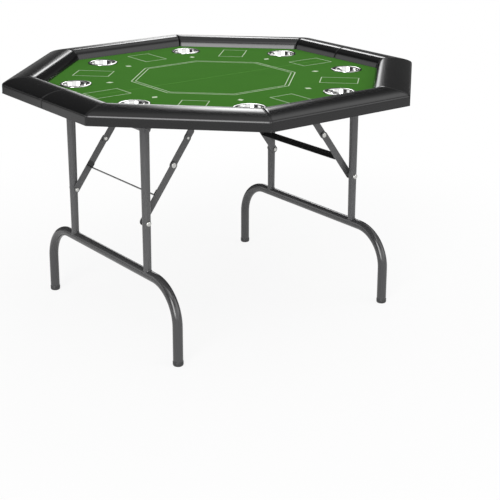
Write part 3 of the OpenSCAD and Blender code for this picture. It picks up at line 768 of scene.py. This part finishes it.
taper = [(UP_R, BAR_Z + 6), (UP_R, BAR_Z + 20), (UP_TOP_R, PIVOT_Z), (UP_TOP_R, PIVOT_Z + 12),
         (UP_TOP_R - 0.4, PIVOT_Z + 12.7), (UP_TOP_R - 1.2, PIVOT_Z + 13)]
upright = turned("upright", taper, at=(-LEG_X, -UP_Y, 0))
for spot in upright.data.vertices:
    if spot.co.z < (BAR_Z + 7) * MM:            # the lowest ring is fitted over the crossbar
        spot.co.z = (BAR_Z + saddle(spot.co.x / MM + LEG_X) - 0.3) * MM
PIVOT_R = 11
pivot = turned("pivot", [(PIVOT_R - 0.6, -EAR_Y + 0.5), (PIVOT_R, -EAR_Y + 1.2), (PIVOT_R, EAR_Y - 1.2),
                         (PIVOT_R - 0.6, EAR_Y - 0.5)], sides=40)
along_y(pivot, -LEG_X, PIVOT_Z)
print("upright", UP_R, "to", UP_TOP_R, "mm in radius")

# %% Welds
BEAD_R, PIVOT_BEAD_R = 1.9, 1.5
RIPPLES, RIPPLE = 21, 0.25                      # the small steps that the welder leaves


def bead(ring, radius):
    """A torus, which the joint line then bends."""
    fresh()
    bpy.ops.mesh.primitive_torus_add(major_radius=ring * MM, minor_radius=radius * MM, major_segments=64,
                                     minor_segments=8)
    bpy.ops.object.shade_smooth()
    return bpy.context.object


def weld_on_bar():
    """Bead round the foot of an upright, over the crossbar."""
    piece = bead(UP_R + 0.6, BEAD_R)
    for spot in piece.data.vertices:
        x, y, z = spot.co / MM
        ripple = RIPPLE * math.sin(RIPPLES * math.atan2(y, x))
        swell = 1 + ripple / 30
        level = saddle(min(abs(x), FOOT_R - 0.2))
        spot.co = Vector((x * swell - LEG_X, y * swell - UP_Y, BAR_Z + level + z + ripple * 0.4)) * MM
    return piece


def weld_on_pivot():
    """Bead round the pivot tube, where it runs into the upright."""
    piece = bead(PIVOT_R + 0.6, PIVOT_BEAD_R)
    for spot in piece.data.vertices:
        x, z, out = spot.co / MM
        depth = math.sqrt(max(0.0, UP_TOP_R ** 2 - x * x))
        spot.co = Vector((x - LEG_X, -UP_Y + depth + out, PIVOT_Z + z)) * MM
    return piece


welds = [weld_on_bar(), weld_on_pivot()]
welds += [copy_of(w, "weld", flip_y=True) for w in welds]
weld = joined("welds", *welds)
print("weld beads", len(welds), "a leg frame")

# %% Two leg frames
for side, mirror in LEFT_RIGHT:
    body = side + "_leg"
    # the foot tube takes the glossier coat that is darkened as painted shade
    for shape, name, finish in ((foot, "foot_tube", foot_coat_painted_shade), (pivot, "pivot_tube", leg_coat)):
        twin = copy_of(shape, f"{name}_{side}_coated", flip_x=mirror)
        dress(twin, finish, "leg_paint", body, f"{name}_{side}")
    dress(copy_of(weld, f"welds_{side}", flip_x=mirror), leg_coat, "leg_paint", body)
    for end, back in FRONT_BACK:
        twin = copy_of(upright, f"upright_{side}_{end}_coated", flip_x=mirror, flip_y=back)
        dress(twin, leg_coat, "leg_paint", body, f"upright_{side}_{end}")
remove(foot, upright, pivot, weld)
print("leg frames dressed")

# %% [markdown]
# ## Foot caps, pins, bolts and rivets
# All of these are turned: the caps have a flat to stand on and a rounded rim, the pins and rivets
# a domed head. Plain cylinders would look dead beside the photograph: the rounded rims are what
# catches the light. The bolt's nuts are six-sided discs with their edges taken off.

# %% Foot caps
cap = turned("cap", [(11, 0), (13.6, 0.9), (15.0, 2.3), (15.7, 4.2), (15.9, 6), (15.9, 13.9), (15.6, 14.7),
                     (15.0, 15.0)], sides=40, at=(-LEG_X, -FOOT_Y, 0))
caps = joined("caps", cap, copy_of(cap, "cap_back", flip_y=True))
for side, mirror in LEFT_RIGHT:
    twin = copy_of(caps, f"foot_caps_{side}_moulded", flip_x=mirror)
    dress(twin, cap_plastic, "cap_plastic", side + "_leg", f"foot_caps_{side}")
remove(caps)
print("foot caps on", FOOT_Y, "mm")

# %% Helpers for heads and nuts
def domed(radius, height, lift=0.0):
    """Rings of a domed head of that radius and height, starting at lift."""
    share = ((1.0, 0.0), (1.0, 0.22), (0.95, 0.45), (0.84, 0.68), (0.66, 0.86), (0.42, 0.96), (0.16, 1.0))
    return [(radius * r, lift + height * h) for r, h in share]


def nut(x, z, y, height, radius):
    """A six-sided nut along y from y outwards (towards -y), its edges bevelled."""
    fresh()
    bpy.ops.mesh.primitive_circle_add(vertices=6, radius=radius * MM, fill_type="NGON")
    piece = edit("nut")
    extrude(0, 0, height)
    close(piece, 20)
    modify(piece, "BEVEL", width=0.0005, segments=2, limit_method="ANGLE")
    return along_y(piece, x, z, y)


# %% Pins, bolts and rivets
HEAD_R, HEAD_H, SHANK_R = 8, 4, 4
NUT_R, NUT_H, SPACER_R = 7.0, 4.4, 6.2
KNEE_H, KNEE_SHANK_R, COLLAR_R = 1.7, 3.5, 5.5
NUT_Y = LOWER_Y - 4.5
# the upright's radius where the bolt goes through
skin = UP_R + (UP_TOP_R - UP_R) * (BOLT_Z - BAR_Z) / (PIVOT_Z - BAR_Z)
pin = along_y(turned("pin", [(SHANK_R, -3)] + domed(HEAD_R, HEAD_H)), -LEG_X, PIVOT_Z, -(EAR_Y + 2.5))
bolt_head = turned("bolt", [(SHANK_R, -2)] + domed(HEAD_R, HEAD_H))
along_y(bolt_head, -LEG_X, BOLT_Z, -(UP_Y + skin))
spacer = nut(-LEG_X, BOLT_Z, -(LOWER_Y + LINK_T), UP_Y - skin - LOWER_Y - LINK_T, SPACER_R)
lock_nut = nut(-LEG_X, BOLT_Z, -NUT_Y, NUT_H, NUT_R)
tip = turned("tip", [(3.6, 0), (3.6, 0.8), (3.0, 1.4)], sides=24)
along_y(tip, -LEG_X, BOLT_Z, -NUT_Y, flip=True)
bolt = joined("bolt", bolt_head, spacer, lock_nut, tip)
knee_head = turned("head", [(KNEE_SHANK_R, -0.2)] + domed(HEAD_R, KNEE_H))
along_y(knee_head, LOWER_LEN, 0, -(LOWER_Y + LINK_T))
collar = turned("collar", [(COLLAR_R, 0), (COLLAR_R, 1.8), (COLLAR_R - 0.4, 2.2)], sides=32)
along_y(collar, LOWER_LEN, 0, -LOWER_Y, flip=True)
knee = joined("knee", knee_head, collar)
# a brace is modelled level, from the bolt at x = 0, and then tilted into its place
on_brace = Matrix.Translation(Vector((-LEG_X, 0, BOLT_Z)) * MM) @ Matrix.Rotation(-TILT, 4, "Y")
knee.data.transform(on_brace)
print("pin, bolt and knee rivet of", [len(shape.data.polygons) for shape in (pin, bolt, knee)], "faces")

# %% Fasteners on both leg frames
FASTENERS = (("pivot_pins", pin, "_leg", leg_coat, "leg_paint"),
             ("brace_bolts", bolt, "_leg", zinc, "zinc"),
             ("knee_rivets", knee, "_brace", zinc, "zinc"))
for side, mirror in LEFT_RIGHT:
    for name, shape, body, finish, slot in FASTENERS:
        twins = [copy_of(shape, f"{name}_{side}_{end}", flip_x=mirror, flip_y=back)
                 for end, back in FRONT_BACK]
        dress(joined(f"{name}_{side}_finished", *twins), finish, slot, side + body, f"{name}_{side}")
remove(pin, bolt, knee)
print("fasteners dressed")

# %% [markdown]
# ## Brace links and cross plate
# The links are punched flat bars with round ends. A plane is cut to length, its corners are
# bevelled round, and it is extruded to the sheet's thickness; a fine bevel breaks the edges. Bars
# and discs could be joined with a boolean, but that leaves uneven faces. The cross plate is a
# strip whose two ends are bent along the links: two edges are extruded and the folds bevelled.

# %% Links
def flat_bar(name, start, end, y):
    """A bar with round ends in the x-z plane, from hole to hole, its outer face at -(y + LINK_T)."""
    fresh()
    bpy.ops.mesh.primitive_plane_add(size=1, location=((start + end) / 2 * MM, -y * MM, 0),
                                     rotation=(math.radians(90), 0, 0))
    bpy.context.object.scale = ((end - start + LINK_W) * MM, LINK_W * MM, 1)
    bpy.ops.object.transform_apply(location=True, rotation=True, scale=True)
    piece = edit(name)
    bpy.ops.mesh.bevel(offset=LINK_W / 2 * MM * 0.999, segments=10, affect="VERTICES")
    extrude(0, -LINK_T, 0)
    close(piece, 25)
    return modify(piece, "BEVEL", width=0.0004, segments=2, limit_method="ANGLE")


lower = flat_bar("lower", 0, LOWER_LEN, LOWER_Y)
upper = flat_bar("upper", LOWER_LEN, SPAN, UPPER_Y)
stud = along_y(turned("stud", [(5.4, 0), (6, 0.4)] + domed(6, 1.3, 0.4)), LOWER_LEN, 0, -UPPER_Y, flip=True)
print("links", LOWER_LEN, "and", round(SPAN - LOWER_LEN, 1), "mm between their holes")

# %% Helper for picking edges and corners
def pick(test, kind):
    """Select the edges or corners of the open mesh whose place in mm passes the test."""
    bpy.ops.mesh.select_mode(type=kind)
    bpy.ops.mesh.select_all(action="DESELECT")
    mesh = bmesh.from_edit_mesh(bpy.context.object.data)
    for part in mesh.edges if kind == "EDGE" else mesh.verts:
        corners = part.verts if kind == "EDGE" else [part]
        if test(sum((corner.co for corner in corners), Vector()) / len(corners) / MM, part):
            part.select_set(True)
    bmesh.update_edit_mesh(bpy.context.object.data)


# %% Cross plate
PLATE_AT, PLATE_W, PLATE_T, TAB = 82.7, 24, 2.3, 18.75
BEND_R, CORNER_R = 3, 5
PLATE_END = LOWER_Y - CLEAR


def at_bend(middle, edge):
    """The two edges across the strip where its ends are bent."""
    across_strip = abs(edge.verts[0].co.z - edge.verts[1].co.z) > 0.01
    return across_strip and abs(abs(middle.y) - PLATE_END) < 0.5 and abs(middle.x - PLATE_AT) < 0.5


fresh()
bpy.ops.mesh.primitive_plane_add(size=1, location=(PLATE_AT * MM, 0, 0), rotation=(0, math.radians(90), 0))
bpy.context.object.scale = (PLATE_W * MM, 2 * PLATE_END * MM, 1)
bpy.ops.object.transform_apply(location=True, rotation=True, scale=True)
plate = edit("plate")
for end in (-1, 1):
    pick(lambda middle, edge: abs(middle.y - end * PLATE_END) < 1, "EDGE")
    extrude(TAB, 0, 0)
pick(at_bend, "EDGE")
bpy.ops.mesh.bevel(offset=BEND_R * MM, segments=4)
pick(lambda corner, vertex: abs(corner.x - PLATE_AT - TAB) < 0.5, "VERT")
bpy.ops.mesh.bevel(offset=CORNER_R * MM, segments=5, affect="VERTICES")
close(plate)
modify(plate, "SOLIDIFY", thickness=PLATE_T * MM, offset=-1)
modify(plate, "BEVEL", width=0.0004, segments=2, limit_method="ANGLE")
print("cross plate box", *([round(v / MM, 1) for v in plate.bound_box[corner]] for corner in (0, 6)))

# %% Two brace sets
for shape in (lower, upper, stud, plate):
    shape.data.transform(on_brace)
for side, mirror in LEFT_RIGHT:
    brace = side + "_brace"
    twin = copy_of(plate, f"cross_plate_{side}_coated", flip_x=mirror)
    # the cross plate takes the coat that is darkened to nearly black as painted shade
    dress(twin, plate_coat_painted_shade, "leg_paint", brace, f"cross_plate_{side}")
    for end, back in FRONT_BACK:
        upper_body = f"{side}_upper_{end}"
        for shape, name, body in ((lower, "lower_link", brace), (upper, "upper_link", upper_body)):
            twin = copy_of(shape, f"{name}_{side}_{end}_coated", flip_x=mirror, flip_y=back)
            dress(twin, leg_coat, "leg_paint", body, f"{name}_{side}_{end}")
        twin = copy_of(stud, f"knee_stud_{side}_{end}", flip_x=mirror, flip_y=back)
        dress(twin, zinc, "zinc", upper_body)
remove(lower, upper, stud, plate)
print("brace sets dressed")

# %% [markdown]
# ## Frame nodes that keep their own shape
# The board, the wooden rail frame, the brackets and their small fasteners are already right in
# the frame. They could be modelled again, but nothing would be gained, so they only get their
# real finish.

# %% Finishes on the frame's own nodes
OWN = {"board": laminate, "rail_frame": wrap, "bracket_rivets": zinc, "bracket_screws": zinc}
OWN.update({name: leg_coat for name in nodes if "_bracket_" in name})
for name, finish in OWN.items():
    nodes[name].data.materials.clear()
    nodes[name].data.materials.append(finish)
print("own nodes", sorted(OWN))
